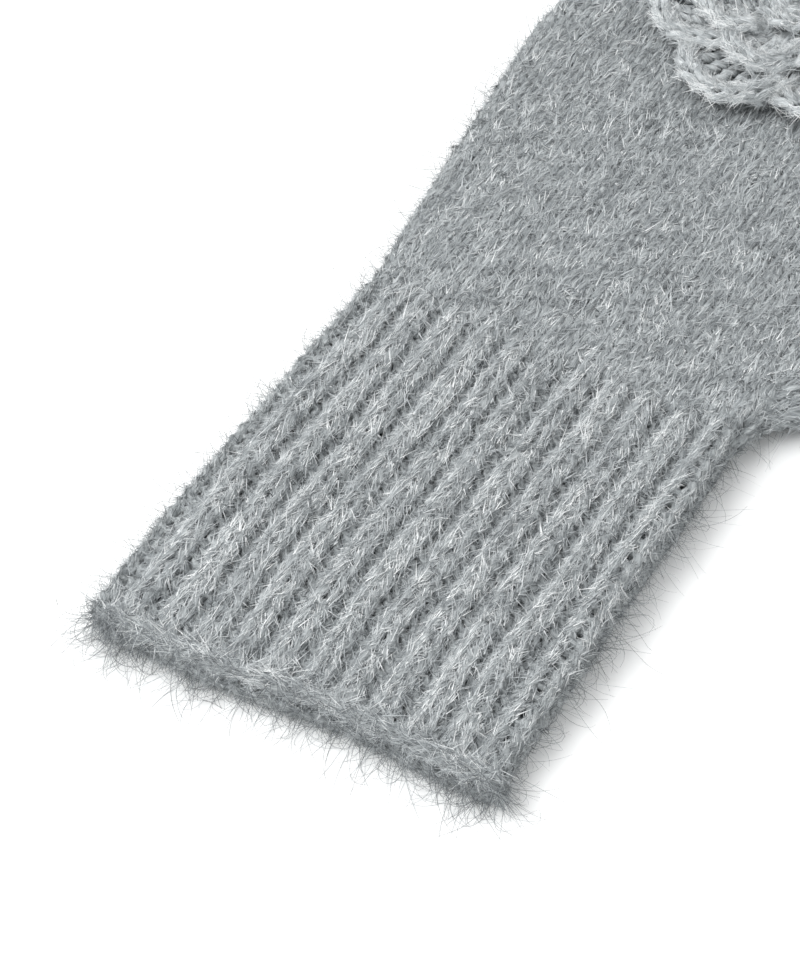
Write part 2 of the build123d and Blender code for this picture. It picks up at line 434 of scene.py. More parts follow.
def side_line(sign, low, high):
    """Up one side of the hand, where back and palm meet."""
    y = np.arange(low, high, 1.0)
    return np.stack((sign * (half_width(y) + SPREAD), y), 1)


def tip_line():
    """Round the end of the finger pocket, from the left side to the right."""
    angle = np.linspace(math.pi, 0, 160)
    radius = HALF_HAND - INSET + SPREAD
    return np.stack((radius * np.cos(angle), TIP_START + radius * np.sin(angle)), 1)


def thumb_side(sign, low, high):
    """Up one side of gusset and thumb, where back and palm meet."""
    across = np.arange(0, 34, 0.1)
    along = np.arange(low, high, 1.0)
    x, y = on_spine(sign * across[None], along[:, None])
    within = in_thumb(x, y) + SPREAD > 0
    last = within.shape[1] - 1 - within[:, ::-1].argmax(1)
    edge = across[np.where(within.any(1), last, 0)]
    return np.stack(on_spine(sign * edge, along), 1)


def thumb_line():
    """Up the thumb's outer side, round its tip and down to the fork."""
    tip = PIVOT + THUMB_ALONG * THUMB_TIP_AT
    angle = np.linspace(0, math.pi, 50) - THUMB_LEAN
    radius = THUMB_TIP - INSET + SPREAD
    arc = tip + radius * np.stack((np.cos(angle), np.sin(angle)), 1)
    outer, inner = thumb_side(1, -52, THUMB_TIP_AT), thumb_side(-1, 20, THUMB_TIP_AT)
    line = np.concatenate((outer, arc, inner[::-1]))
    return line[in_hand(*line.T) < -1.5]


def gathered(*sets):
    """Several sets of strands as one."""
    return tuple(np.concatenate(arrays) for arrays in zip(*sets))


FORK_Y = CUFF + 62  # where the thumb leaves the hand
BEND_Y = KNUCKLES + 2  # where the hand's knitting becomes the fingers'
ZONES = ("cuff", "hand", "fingers", "thumb")


@functools.lru_cache(None)
def stitches_of(zone):
    """The yarn of one zone of the mitten: points, normals and where strands carry on."""
    rng = np.random.default_rng(ZONES.index(zone) + 20)
    if zone == "cuff":
        return knit_cuff(rng)
    if zone == "thumb":
        return gathered(knit_thumb(rng), column_of(thumb_line(), rng))
    if zone == "hand":
        y = np.arange(CUFF + 12, FORK_Y - 14, 1.0)
        seam = np.stack((half_width(y) - 0.3, y), 1)
        return gathered(
            knit_plain(rng, CUFF, BEND_Y),
            column_of(side_line(-1, CUFF, BEND_Y), rng),
            column_of(side_line(1, CUFF, CUFF + 12), rng),
            column_of(side_line(1, FORK_Y, BEND_Y), rng),
            column_of(seam, rng),
            column_of(seam, rng, face=-1.0),
        )
    up, down = side_line(-1, BEND_Y, TIP_START), side_line(1, BEND_Y, TIP_START)[::-1]
    round_the_tip = np.concatenate((up, tip_line(), down))
    return gathered(knit_plain(rng, BEND_Y, TOTAL + 4), column_of(round_the_tip, rng))


# ---------------------------------------------------------------- ridges and twisted strands
def ridge(line, first, second, rng, course, radius, reach=(-0.2, 1.15), lean=0.23):
    """A chain of V stitches rolled round a line.

    first, second: directions at a right angle, between which the chain faces; reach: the quarter
    turns from the first to the second that it covers.
    """
    gone = np.r_[0, np.cumsum(np.linalg.norm(np.diff(line, axis=0), axis=1))]
    count = int(gone[-1] / course)
    v = (np.arange(count) + 0.5) * gone[-1] / count

    def place(u, v, out, face):
        at, a, b = (
            np.stack([np.interp(v, gone, axis) for axis in values.T], -1)
            for values in (line, first, second)
        )
        angle = (QUARTER * (reach[0] + (reach[1] - reach[0]) * u))[..., None]
        normal = np.cos(angle) * a + np.sin(angle) * b
        return at + normal * (radius + out)[..., None], normal

    return loops(np.zeros(count), v, np.ones(count), 1.0, place, course, rng, 11, lean=lean)


def twisted(lines, radius, pitch):
    """Two plies wound round each line. lines: strands x samples x 3."""
    tangent = unit(np.gradient(lines, axis=1))
    side = unit(np.cross(tangent, (0.13, 0.21, 0.97)))
    up = np.cross(side, tangent)
    steps = np.linalg.norm(np.diff(lines, axis=1), axis=-1)
    turn = np.c_[np.zeros(len(lines)), np.cumsum(steps, 1)] * 2 * math.pi / pitch
    plies, normals = [], []
    for half in (0, math.pi):
        normal = np.cos(turn + half)[..., None] * up + np.sin(turn + half)[..., None] * side
        plies.append(lines + normal * radius)
        normals.append(normal)
    return np.concatenate(plies), np.concatenate(normals)


# ---------------------------------------------------------------- materials
def linear(hex_colour):
    """sRGB hex to linear RGBA."""
    values = [int(hex_colour[i : i + 2], 16) / 255 for i in (1, 3, 5)]
    return (*[v / 12.92 if v <= 0.04045 else ((v + 0.055) / 1.055) ** 2.4 for v in values], 1.0)


def add_node(tree, kind, settings=None, **links):
    """One node with its settings; a link's name is the input's, with _ for a space."""
    node = tree.nodes.new(kind)
    for key, value in (settings or {}).items():
        if key in node.inputs:
            node.inputs[key].default_value = value
        else:
            setattr(node, key, value)
    for key, source in links.items():
        tree.links.new(source, node.inputs[key.replace("_", " ")])
    return node


def new_material(name):
    material = bpy.data.materials.new(name)
    material.use_nodes = True
    material.node_tree.nodes.clear()
    return material, material.node_tree


def colour_ramp(tree, stops, factor):
    node = add_node(tree, "ShaderNodeValToRGB", Fac=factor)
    elements = node.color_ramp.elements
    while len(elements) < len(stops):
        elements.new(0.5)
    for element, (position, colour) in zip(elements, stops):
        element.position, element.color = position, linear(colour)
    return node.outputs["Color"]


def surface(tree, shader):
    add_node(tree, "ShaderNodeOutputMaterial", Surface=shader.outputs["BSDF"])


def yarn_material(name, stops, fibre_width, bump):
    """Streaks of pale and dark fibres that lie along the strand, seven times as long as wide."""
    material, tree = new_material(name)
    strand = add_node(tree, "ShaderNodeAttribute", {"attribute_name": "yarn"})
    drawn_out = {"Scale": (0.14, 1, 1)}
    along = add_node(tree, "ShaderNodeMapping", drawn_out, Vector=strand.outputs["Vector"])
    streaks = add_node(
        tree,
        "ShaderNodeTexNoise",
        {"Scale": 1 / fibre_width, "Detail": 2.0, "Roughness": 0.6, "Distortion": 0.8},
        Vector=along.outputs["Vector"],
    )
    height = streaks.outputs["Fac"]
    relief = {"Strength": bump, "Distance": 0.4 * MM}
    dents = add_node(tree, "ShaderNodeBump", relief, Height=height)
    shader = add_node(
        tree,
        "ShaderNodeBsdfPrincipled",
        {"Roughness": 0.85, "Specular IOR Level": 0.2, "Sheen Weight": 0.2, "Sheen Roughness": 0.5},
        Base_Color=colour_ramp(tree, stops, height),
        Normal=dents.outputs["Normal"],
    )
    surface(tree, shader)
    return material


def fibre_material(name, stops):
    """Fibres that are each of one tone."""
    material, tree = new_material(name)
    tone = add_node(tree, "ShaderNodeAttribute", {"attribute_name": "tone"})
    shader = add_node(
        tree,
        "ShaderNodeBsdfPrincipled",
        {"Roughness": 0.7, "Specular IOR Level": 0.2, "Sheen Weight": 0.15, "Sheen Roughness": 0.5},
        Base_Color=colour_ramp(tree, stops, tone.outputs["Fac"]),
    )
    surface(tree, shader)
    return material


def felt_material(name, stops, cloud):
    """Matted fibre: cloudy, matt and a little lumpy."""
    material, tree = new_material(name)
    place = add_node(tree, "ShaderNodeTexCoord")
    clouds = add_node(
        tree,
        "ShaderNodeTexNoise",
        {"Scale": 1 / (cloud * MM), "Detail": 4.0, "Roughness": 0.7},
        Vector=place.outputs["Object"],
    )
    height = clouds.outputs["Fac"]
    dents = add_node(tree, "ShaderNodeBump", {"Strength": 0.6, "Distance": 0.5 * MM}, Height=height)
    shader = add_node(
        tree,
        "ShaderNodeBsdfPrincipled",
        {"Roughness": 0.95, "Specular IOR Level": 0.1, "Sheen Weight": 0.2},
        Base_Color=colour_ramp(tree, stops, height),
        Normal=dents.outputs["Normal"],
    )
    surface(tree, shader)
    return material


# Each finish: its maker, colours and, for yarn, the width of a streak in mm and the bump.
FINISHES = {
    # Brushed mohair and wool singles: streaked grey, dull, with a soft sheen.
    "brushed_mohair_yarn": (
        yarn_material, ((0.25, "#595e60"), (0.45, "#909597"), (0.75, "#c8cdce")), 0.5, 0.7
    ),
    # The nap raised by brushing: single fibres from charcoal to near white.
    "mohair_nap": (
        fibre_material, ((0, "#3c4042"), (0.35, "#888d90"), (0.7, "#bfc4c6"), (1, "#eceeee"))
    ),
    # The matted inside of the fabric, which closes the gaps between the stitches.
    "felted_lining": (felt_material, ((0.3, "#5e6365"), (0.7, "#8d9294")), 1.5),
    # The same yarn crocheted and less brushed, so it looks paler and smoother.
    "crocheted_mohair_yarn": (
        yarn_material, ((0.25, "#888d8f"), (0.5, "#bfc4c6"), (0.75, "#eaedee")), 0.5, 0.6
    ),
    # Grey wool sewing yarn: plain and smooth.
    "wool_sewing_yarn": (yarn_material, ((0.3, "#7a7f81"), (0.7, "#a3a8aa")), 0.4, 0.4),
}


@functools.lru_cache(None)
def finish(name):
    maker, *settings = FINISHES[name]
    return maker(name, *settings)


# ---------------------------------------------------------------- pieces and what they ride on
ZONE_NODES = {
    "cuff": ("cuff_ribbing",),
    "hand": ("hand", "thumb_gusset"),
    "fingers": ("finger_pocket",),
    "thumb": ("thumb",),
}


def zone_slot(zone):
    return "rib_knit" if zone == "cuff" else "plain_knit"


def attach(piece, side, zone):
    """Ties a piece to its body; a cuff, hand or thumb piece only gets its placement baked in."""

    def at(x, y):
        return tuple(to_row(np.array((x, y, THICKNESS)), side))

    if zone == "cuff":
        start, end = at(0, CUFF - 14), at(0, CUFF)
        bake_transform(piece)
        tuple(start)
        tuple(end)
    elif zone == "hand":
        start, end = at(0, KNUCKLES - 14), at(0, KNUCKLES)
        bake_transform(piece)
        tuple(start)
        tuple(end)
    elif zone == "thumb":
        start, end = at(*(PIVOT + THUMB_ALONG * 6)), at(*(PIVOT + THUMB_ALONG * 24))
        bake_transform(piece)
        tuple(start)
        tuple(end)
    else:
        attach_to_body(piece, f"{side}_{zone.removesuffix('_end')}")


def strands(name, side, zone, sets, radius, material, slot, nodes=()):
    """A piece made of strands of yarn: sets are points, normals and where strands carry on."""
    points, normals, *joined = sets
    verts, faces, cells, yarn = tubes(points, normals, radius, *joined)
    piece = make_mesh(f"{side}_{name}", verts, faces, cells, finish(material), side, {"yarn": yarn})
    attach(piece, side, zone)
    if nodes:
        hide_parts(*[f"{side}_{node}" for node in nodes])


def knit_zone(zone, radius):
    for side in SIDES:
        yarn, slot, nodes = "brushed_mohair_yarn", zone_slot(zone), ZONE_NODES[zone]
        strands(f"{zone}_knit", side, zone, stitches_of(zone), radius, yarn, slot, nodes)


# ---------------------------------------------------------------- the cast-off edge
@functools.lru_cache(None)
def cast_off():
    """The chain along the opening: on the back of the hand, then along the palm."""
    rng = np.random.default_rng(31)
    past_side = 1.6
    x = np.linspace(-1, 1, 120) * (OPENING_HALF - INSET + past_side)
    sets = []
    for face in (1.0, -1.0):
        line, normal = wrap(x, np.full_like(x, CAST_OFF_DEPTH + 0.4), np.full_like(x, -0.7), face)
        out = np.broadcast_to((0.0, -1.0, 0.0), normal.shape)
        sets.append(ridge(line, normal, out, rng, 3.6, 1.5))
    return gathered(*sets)


# ---------------------------------------------------------------- the lining
def lining_grid(zone):
    """The inside of the fabric of one zone as closed rings: x, y and face."""
    mesh_size, points_across = 2.4, 41
    if zone == "thumb":
        tip_at = THUMB_TIP_AT
        along = np.r_[np.arange(-52, tip_at, mesh_size), np.linspace(tip_at, tip_at + 16, 9)]
        radii = (GUSSET_POINT, GUSSET_ROUND, THUMB_HALF, THUMB_TIP)
        edge = np.interp(along, (-51, 0, 11, tip_at), radii) - INSET + SPREAD
        beyond = np.clip(along - tip_at, 0, None)
    else:
        starts = {"cuff": CAST_OFF_DEPTH, "hand": CUFF, "fingers": BEND_Y}
        ends = {"cuff": CUFF, "hand": BEND_Y, "fingers": TOTAL}
        low, high = starts[zone], ends[zone]
        along = np.linspace(low, high, int((high - low) / mesh_size))
        edge = half_width(along) + SPREAD
        beyond = np.clip(along - TIP_START, 0, None)
    edge = np.sqrt(np.clip(edge**2 - beyond**2, 0.04, None))
    share = np.sin(np.linspace(-1, 1, points_across) * QUARTER)
    across = edge[:, None] * np.concatenate((share, share[::-1]))
    along = np.repeat(along[:, None], 2 * points_across, 1)
    face = np.broadcast_to(np.repeat((1.0, -1.0), points_across), across.shape)
    x, y = on_spine(across, along) if zone == "thumb" else (across, along)
    return x, y, face


def line_zone(zone, side):
    x, y, face = lining_grid(zone)
    points, _ = wrap(x, y, np.full(x.shape, -1.0), face)
    faces, cells = ring_faces(*x.shape)
    name = f"{side}_{zone}_lining"
    piece = make_mesh(name, points.reshape(-1, 3), faces, cells, finish("felted_lining"), side, {})
    attach(piece, side, zone)
    zone_slot(zone)


def ring_faces(rows, ring):
    """Faces between rings of points that lie one after another, and UVs that fill the map."""
    index = np.arange(rows * ring).reshape(rows, ring)
    after = np.roll(index, -1, 1)
    faces = np.stack((index[:-1], index[1:], after[1:], after[:-1]), -1).reshape(-1, 4)
    row, column = np.meshgrid(np.arange(rows - 1), np.arange(ring), indexing="ij")
    square = ((0, 0), (0, 1), (1, 1), (1, 0))
    cells = [np.stack(((column + a) / ring, (row + b) / (rows - 1)), -1) for a, b in square]
    return faces, np.stack(cells, -2).reshape(-1, 4, 2)


# ---------------------------------------------------------------- loose fibres
PER_TUFT = 4


def tone_cells(faces, tone):
    """UVs that place each face by its tone, so that faces which overlap there look alike."""
    u = 0.02 + 0.96 * tone[np.where(faces < 0, faces[:, :1], faces)]
    v = (np.arange(len(faces)) * 0.618034 % 1)[:, None] * 0.96 + 0.02
    corner = np.array(((0, 0), (0.004, 0), (0.004, 0.006), (0, 0.006)))
    return np.stack((u, np.broadcast_to(v, u.shape)), -1) + corner


def nap(
    points, normals, rng, tufts, length, width, lift, spread, tone, palm=0.22, crown=1.0, legs=0.0
):
    """Short tapering fibres, one triangle each, in tufts that lie along the strands.

    points: strands x samples x 3; lift and spread: angles off the fabric and off the strand; tone:
    mean and spread, from 0 dark to 1 pale; palm: how dense the nap is underneath; crown: for each
    strand, 1 where it stands proud and gets the most nap, less where it lies deep, where its nap is
    also painted darker as shade; legs: how much denser the nap is on the two legs of a stitch than
    on its head and feet, and how much paler it is painted on the proud legs and darker on the
    deeper head and feet, as painted light and shade.
    """
    count, samples = points.shape[:2]
    facing = normals[:, samples // 2, 2]
    crown = np.broadcast_to(crown, count)
    weight = crown * (palm + (1 - palm) * np.clip((facing + 0.7) / 0.6, 0, 1))
    which = rng.choice(count, tufts, p=weight / weight.sum())
    # leg: 1 on the proud legs of a stitch, 0 on its deeper head and feet; it sets where the nap is
    # denser and, below, where it is painted paler as light and darker as shade.
    leg = np.abs(np.sin(2 * math.pi * (np.arange(samples - 1) + 0.5) / (samples - 1)))
    density = 1 + 4 * legs * leg
    where = rng.choice(samples - 1, tufts, p=density / density.sum())
    start, end = points[which, where], points[which, where + 1]
    outward = normals[which, where]
    along = unit(end - start)
    sideways = unit(np.cross(along, outward))
    root = start + rng.uniform(0, 1, (tufts, 1)) * (end - start)
    swirl = rng.normal(0, spread, (tufts, 1)) + math.pi * rng.integers(0, 2, (tufts, 1))
    mood, spot = tone
    shade = mood + rng.normal(0, spot, tufts) + 0.1 * ripple(root[:, 0], root[:, 1], 41, 9)
    # Painted shade: crown makes the nap darker on strands that lie deep, and legs paints the proud
    # legs of a stitch paler and its deeper head and feet darker, as painted light and shade.
    shade = shade + 0.14 * (crown[which] - 1) + legs * (leg[where] - 0.75)

    tuft = (root, outward, along, sideways, swirl, shade)
    root, outward, along, sideways, swirl, shade = (np.repeat(a, PER_TUFT, 0) for a in tuft)
    total = len(root)
    swirl = swirl + rng.normal(0, 0.3, (total, 1))
    rise = np.abs(rng.normal(lift, 0.6 * lift, (total, 1)))
    lying = along * np.cos(swirl) + sideways * np.sin(swirl)
    heading = lying * np.cos(rise) + outward * np.sin(rise)
    round_yarn = rng.uniform(-1.3, 1.3, (total, 1))
    root = root + (outward * np.cos(round_yarn) + sideways * np.sin(round_yarn)) * 0.95
    root = root + rng.normal(0, 0.2, (total, 3))
    tip = root + heading * length * np.exp(rng.normal(0, 0.35, (total, 1)))
    flat = unit(np.cross(heading, outward)) * width * rng.uniform(0.3, 0.7, (total, 1))
    verts = np.stack((root - flat, root + flat, tip), 1).reshape(-1, 3)
    verts[:, 2] = np.maximum(verts[:, 2], 0.1)
    tones = np.repeat(np.clip(shade + rng.normal(0, 0.4 * spot, total), 0, 1), 3)
    faces = np.c_[np.arange(total * 3).reshape(-1, 3), np.full(total, -1)]
    return verts, faces, tone_cells(faces, tones), tones


def curls(root, outward, rng, length, curl, tone, segments, width=0.09):
    """Long single fibres that curl away from the fabric. curl: radians of bend per mm."""
    count = len(root)
    heading = unit(outward + rng.normal(0, 0.55, (count, 3)))
    axis = rng.normal(0, 1, (count, 3))
    axis = unit(axis - heading * (axis * heading).sum(1, keepdims=True) * 0.8)
    long = np.minimum(length * np.exp(rng.normal(0, 0.45, (count, 1))), 16)
    bend = rng.normal(0, curl, (count, 1)) * long / segments
    tighten = rng.uniform(-0.08, 0.25, (count, 1))
    at, rows = root.copy(), []
    for k in range(segments + 1):
        flat = unit(np.cross(heading, axis * 0.3 + (0, 0, 1))) * width * (0.5 - 0.3 * k / segments)
        rows.append(np.stack((at - flat, at + flat), 1))
        angle = bend * (1 + tighten * k)
        along_axis = axis * (axis * heading).sum(1, keepdims=True)
        turned = heading * np.cos(angle) + np.cross(axis, heading) * np.sin(angle)
        heading = turned + along_axis * (1 - np.cos(angle))
        at = at + heading * long / segments
        at[:, 2] = np.maximum(at[:, 2], 0.12)
    verts = np.stack(rows, 1).reshape(-1, 3)
    per = 2 * (segments + 1)
    base = np.arange(count)[:, None] * per + np.arange(segments)[None] * 2
    faces = np.stack((base, base + 1, base + 3, base + 2), -1).reshape(-1, 4)
    tones = np.repeat(np.clip(rng.normal(*tone, count), 0, 1), per)
    return verts, faces, tone_cells(faces, tones), tones


def fibre_piece(name, side, zone, parts, slot):
    starts = np.cumsum([0] + [len(part[0]) for part in parts])
    moved = [np.where(part[1] < 0, -1, part[1] + start) for part, start in zip(parts, starts)]
    faces = np.concatenate(moved)
    verts, cells, tones = (np.concatenate([part[i] for part in parts]) for i in (0, 2, 3))
    material = finish("mohair_nap")
    piece = make_mesh(f"{side}_{name}", verts, faces, cells, material, side, {"tone": tones})
    attach(piece, side, zone)


NAPS = {  # tufts, length, width, lift, spread, tone: brushing lays the nap flatter on the hand
    "cuff": (31000, 2.2, 0.17, 0.12, 0.2, (0.58, 0.2)),
    "hand": (22000, 2.2, 0.2, 0.12, 0.4, (0.52, 0.17)),
    "fingers": (23000, 2.2, 0.2, 0.12, 0.4, (0.52, 0.17)),
    "thumb": (9000, 2.2, 0.2, 0.12, 0.4, (0.52, 0.17)),
}


def brush_zone(zone):
    rng = np.random.default_rng(ZONES.index(zone) + 50)
    points, normals, _ = stitches_of(zone)
    # legs: denser nap on the legs of each stitch, painted paler there and darker at the head and
    # feet, as painted light and shade.
    crown, legs = 1.0, 0.2
    if zone == "cuff":
        column, _, _ = block(*CUFF_BLOCK)
        # crown: 1 on the proud knit ribs, 0.36 in the purl valleys, which get less nap and nap
        # painted darker as shade.
        crown, legs = 0.68 + 0.32 * rib_sign(column + 0.5), 0.4
    parts = [nap(points, normals, rng, *NAPS[zone], crown=crown, legs=legs)]
    if zone == "cuff":
        parts.append(nap(*cast_off(), rng, 2600, 2.6, 0.16, 0.16, 0.4, (0.64, 0.18), palm=0.7))
    for side in SIDES:
        fibre_piece(f"{zone}_nap", side, zone, parts, zone_slot(zone))


HAZE = {"cuff": 1100, "hand": 520, "fingers": 600, "thumb": 300}
DARK_FIBRE, MIXED_FIBRE = (0.22, 0.16), (0.5, 0.3)


def haze(zone, rng):
    """Loose curling fibres: short ones on the back and sides, longer ones at the opening."""
    points, normals, _ = stitches_of(zone)

    def pick(points, normals, chosen, number):
        strand = rng.choice(np.flatnonzero(chosen), number)
        where = rng.integers(0, points.shape[1], number)
        return points[strand, where], normals[strand, where]

    facing = normals[:, 4, 2]
    sides = pick(points, normals, np.abs(facing) < 0.75, HAZE[zone])
    back = pick(points, normals, facing > 0.5, HAZE[zone])
    parts = [
        curls(*sides, rng, 6.5, 0.22, DARK_FIBRE, 7),
        curls(*back, rng, 4.5, 0.25, MIXED_FIBRE, 5),
    ]
    if zone == "cuff":
        points, normals = cast_off()
        root, normal = pick(points, normals, np.ones(len(points), bool), 1400)
        outward = normal * 0.4 + (0, -0.8, -0.1)
        short = 800
        parts.append(curls(root[:short], outward[:short], rng, 5.5, 0.3, DARK_FIBRE, 8))
        parts.append(curls(root[short:], outward[short:], rng, 12, 0.2, DARK_FIBRE, 14))
        corner = np.abs(root[:, 0]) > OPENING_HALF - 10
        away = outward[corner] + np.sign(root[corner, :1]) * (0.7, 0, 0)
        parts.append(curls(root[corner], away, rng, 9, 0.22, DARK_FIBRE, 10))
    return parts


# ---------------------------------------------------------------- the flower
ROUNDS = {  # petals, reach, petal radius, first angle in degrees, underside, rise of the rim
    "outer": (6, 31.0, 11.5, 15, flower_low[2] + 0.3, 3.0),
    "inner": (5, 21.0, 8.5, 50, inner_low[2] + 0.2, 2.8),
}
UP = np.array((0.0, 0.0, 1.0))


def round_of(angles):
    """Unit vectors in the plan at these angles, with a third number, 0."""
    return np.stack((np.cos(angles), np.sin(angles), np.zeros_like(angles)), -1)


def petal_angles(which):
    count, _, _, first, _, _ = ROUNDS[which]
    return [math.radians(first) + 2 * math.pi * k / count for k in range(count)]


def petal_middle(which, angle):
    _, reach, radius, *_ = ROUNDS[which]
    return FLOWER + round_of(angle)[:2] * (reach - radius - 1.8)


@functools.lru_cache(None)
def petals(which):
    """Rims and posts of one round of petals."""
    count, _, radius, _, under, rise = ROUNDS[which]
    rng = np.random.default_rng(80 + count)
    fan, samples = 9, 14  # posts to a petal, and points along each
    rims, posts = [], []
    for k, angle in enumerate(petal_angles(which)):
        middle = petal_middle(which, angle)
        turn = np.radians(np.linspace(-112, 112, 90))
        out = round_of(angle + turn)
        droop = 0.5 * np.sin(3 * turn + k) + 0.6 * np.sin(turn)
        line = np.c_[middle + out[:, :2] * radius, under + rise + droop]
        rims.append(ridge(line, UP + 0 * out, out, rng, 3.9, 1.5, reach=(-0.75, 1.15), lean=0.2))
        toward = angle + np.radians(np.linspace(-92, 92, fan)) + rng.normal(0, 0.05, fan)
        heads = round_of(toward)[:, :2]
        share = np.linspace(0, 1, samples)
        start = FLOWER + 0.3 * (middle - FLOWER) + 2.2 * heads
        end = middle + (radius - 0.8) * heads
        plan = start[:, None] + (end - start)[:, None] * share[None, :, None]
        height = np.broadcast_to(under + 0.9 + (rise - 0.8) * share**1.6, (fan, samples))
        posts.append(np.concatenate((plan, height[..., None]), -1))
    return gathered(*rims), twisted(np.concatenate(posts), 0.75, 5.5)


@functools.lru_cache(None)
def bud():
    """The flower's centre: two rings of chain, one on the other."""
    rng = np.random.default_rng(90)
    out = round_of(np.linspace(0, 2 * math.pi, 90))
    rings = []
    for radius, height, course in ((5.3, 1.2, 3.4), (2.5, 2.6, 2.6)):
        line = np.c_[FLOWER + out[:, :2] * radius, np.full(90, centre_low[2] + height)]
        rings.append(ridge(line, UP + 0 * out, out, rng, course, 1.2, reach=(-0.9, 1.2), lean=0.2))
    return gathered(*rings)


def cup(centre, radius, under, rise):
    """A thin dished round of matted fibre: points and faces."""
    rings, spokes = 6, 28
    share = np.linspace(0.02, 1, rings)
    spoke = round_of(np.arange(spokes) * 2 * math.pi / spokes)[None, :, :2]
    plan = spoke * share[:, None, None] * radius
    height = np.broadcast_to((under + rise * share**2)[:, None, None], (rings, spokes, 1))
    bottom = np.concatenate((plan + centre, height), -1)
    points = np.concatenate((bottom + (0, 0, 0.8), bottom[::-1]))
    faces, _ = ring_faces(2 * rings, spokes)
    return points.reshape(-1, 3), faces


def flower_lining(side, name, cups):
    rounds = [cup(*one) for one in cups]
    starts = np.cumsum([0] + [len(points) for points, _ in rounds])
    points = np.concatenate([points for points, _ in rounds])
    faces = np.concatenate([quads + n for (_, quads), n in zip(rounds, starts)])
    columns, place = cell_places(len(faces))
    cells = (place[:, None] + 0.1 + 0.8 * np.array(((0, 0), (1, 0), (1, 1), (0, 1)))) / columns
    piece = make_mesh(f"{side}_{name}", points, faces, cells, finish("felted_lining"), side, {})
    attach(piece, side, "fingers")


def crochet_flower(side):
    yarn, slot = "crocheted_mohair_yarn", "flower_yarn"
    for which in ROUNDS:
        _, reach, radius, _, under, rise = ROUNDS[which]
        rims, posts = petals(which)
        node = (f"flower_{which}_petals",)
        strands(f"flower_{which}_rims", side, "fingers", rims, 1.1, yarn, slot, node)
        strands(f"flower_{which}_posts", side, "fingers", posts, 0.9, yarn, slot)
        middles = [petal_middle(which, angle) for angle in petal_angles(which)]
        cups = [(middle, radius - 0.3, under, rise - 1.4) for middle in middles]
        flower_lining(side, f"flower_{which}_felt", [*cups, (FLOWER, reach - 13, under, 0.2)])
    strands("flower_bud", side, "fingers", bud(), 1.0, yarn, slot, ("flower_centre",))
    low = centre_low[2]
    domes = [(FLOWER, 5.6, low - 0.6, -0.2), (FLOWER, 3.4, low + 1, 0)]
    flower_lining(side, "flower_bud_felt", domes)


def brush_flower():
    rng = np.random.default_rng(95)
    parts = []
    for which, tufts in (("outer", 3600), ("inner", 2300)):
        rims, posts = petals(which)
        # legs=0.3: the rims' nap is painted paler on the chain's legs and darker at their heads and
        # feet, as painted light and shade.
        parts.append(nap(*rims, rng, tufts, 2.5, 0.18, 0.2, 0.25, (0.78, 0.18), palm=0.4, legs=0.3))
        parts.append(nap(*posts, rng, tufts // 2, 2.4, 0.18, 0.2, 0.35, (0.68, 0.18), palm=0.4))
    parts.append(nap(*bud(), rng, 600, 2.2, 0.18, 0.2, 0.4, (0.72, 0.18), palm=0.4))
    (points, normals), _ = petals("outer")
    picked = rng.integers(0, len(points), 260)
    parts.append(curls(points[picked, 5], normals[picked, 5], rng, 4.5, 0.2, MIXED_FIBRE, 6))
    for side in SIDES:
        fibre_piece("flower_nap", side, "fingers", parts, "flower_yarn")


# ---------------------------------------------------------------- ends and sewing stitches
def middle_of(node):
    low, high = corners(f"left_{node}")
    size = high - low
    low[:2] -= HOME
    return low + size / 2, size


def sewn(name, side, zone, sets, radius, node):
    strands(name, side, zone, sets, radius, "wool_sewing_yarn", "sewing_yarn", (node,))


def draw_up(side):
    """The last stitches of fingers and thumb, drawn into a small ring of yarn."""
    around = np.linspace(0, 2 * math.pi, 40)[:, None]
    for name, zone, lean in (("tip", "fingers", 0.0), ("thumb", "thumb_end", THUMB_LEAN)):
        centre, _ = middle_of(f"{name}_cinch")
        across = np.array((math.cos(lean), -math.sin(lean), 0))
        ring = centre + 2.3 * (np.cos(around) * across + np.sin(around) * UP)
        cord = twisted(ring[None], 0.55, 3.0)
        sewn(f"{name}_cinch_yarn", side, zone, cord, 0.65, f"{name}_cinch")


def weave_in_ends(side):
    """Yarn ends darned into the inside of the fabric."""
    run = np.linspace(-0.5, 0.5, 48)
    for name, zone in (("cuff", "cuff_end"), ("tip", "fingers"), ("thumb", "thumb_end")):
        centre, size = middle_of(f"{name}_yarn_end")
        longest = int(np.argmax(size))
        line = np.repeat(centre[None], 48, 0)
        line[:, longest] += run * size[longest]
        line[:, 1 - longest] += 0.6 * np.sin(run * 22)
        sewn(f"{name}_end_yarn", side, zone, twisted(line[None], 0.4, 4.0), 0.5, f"{name}_yarn_end")


def sew_on_flower(side):
    """The stitches that hold the flower, seen inside the mitten."""
    centre, _ = middle_of("flower_stitches")
    arc = np.linspace(-0.36, 0.36, 16)
    plans = [FLOWER + 11 * round_of(math.radians(60 * k) + arc)[:, :2] for k in range(6)]
    lines = np.array([np.c_[plan, np.full(16, centre[2])] for plan in plans])
    sewn("flower_sewing", side, "fingers", twisted(lines, 0.35, 3.0), 0.45, "flower_stitches")


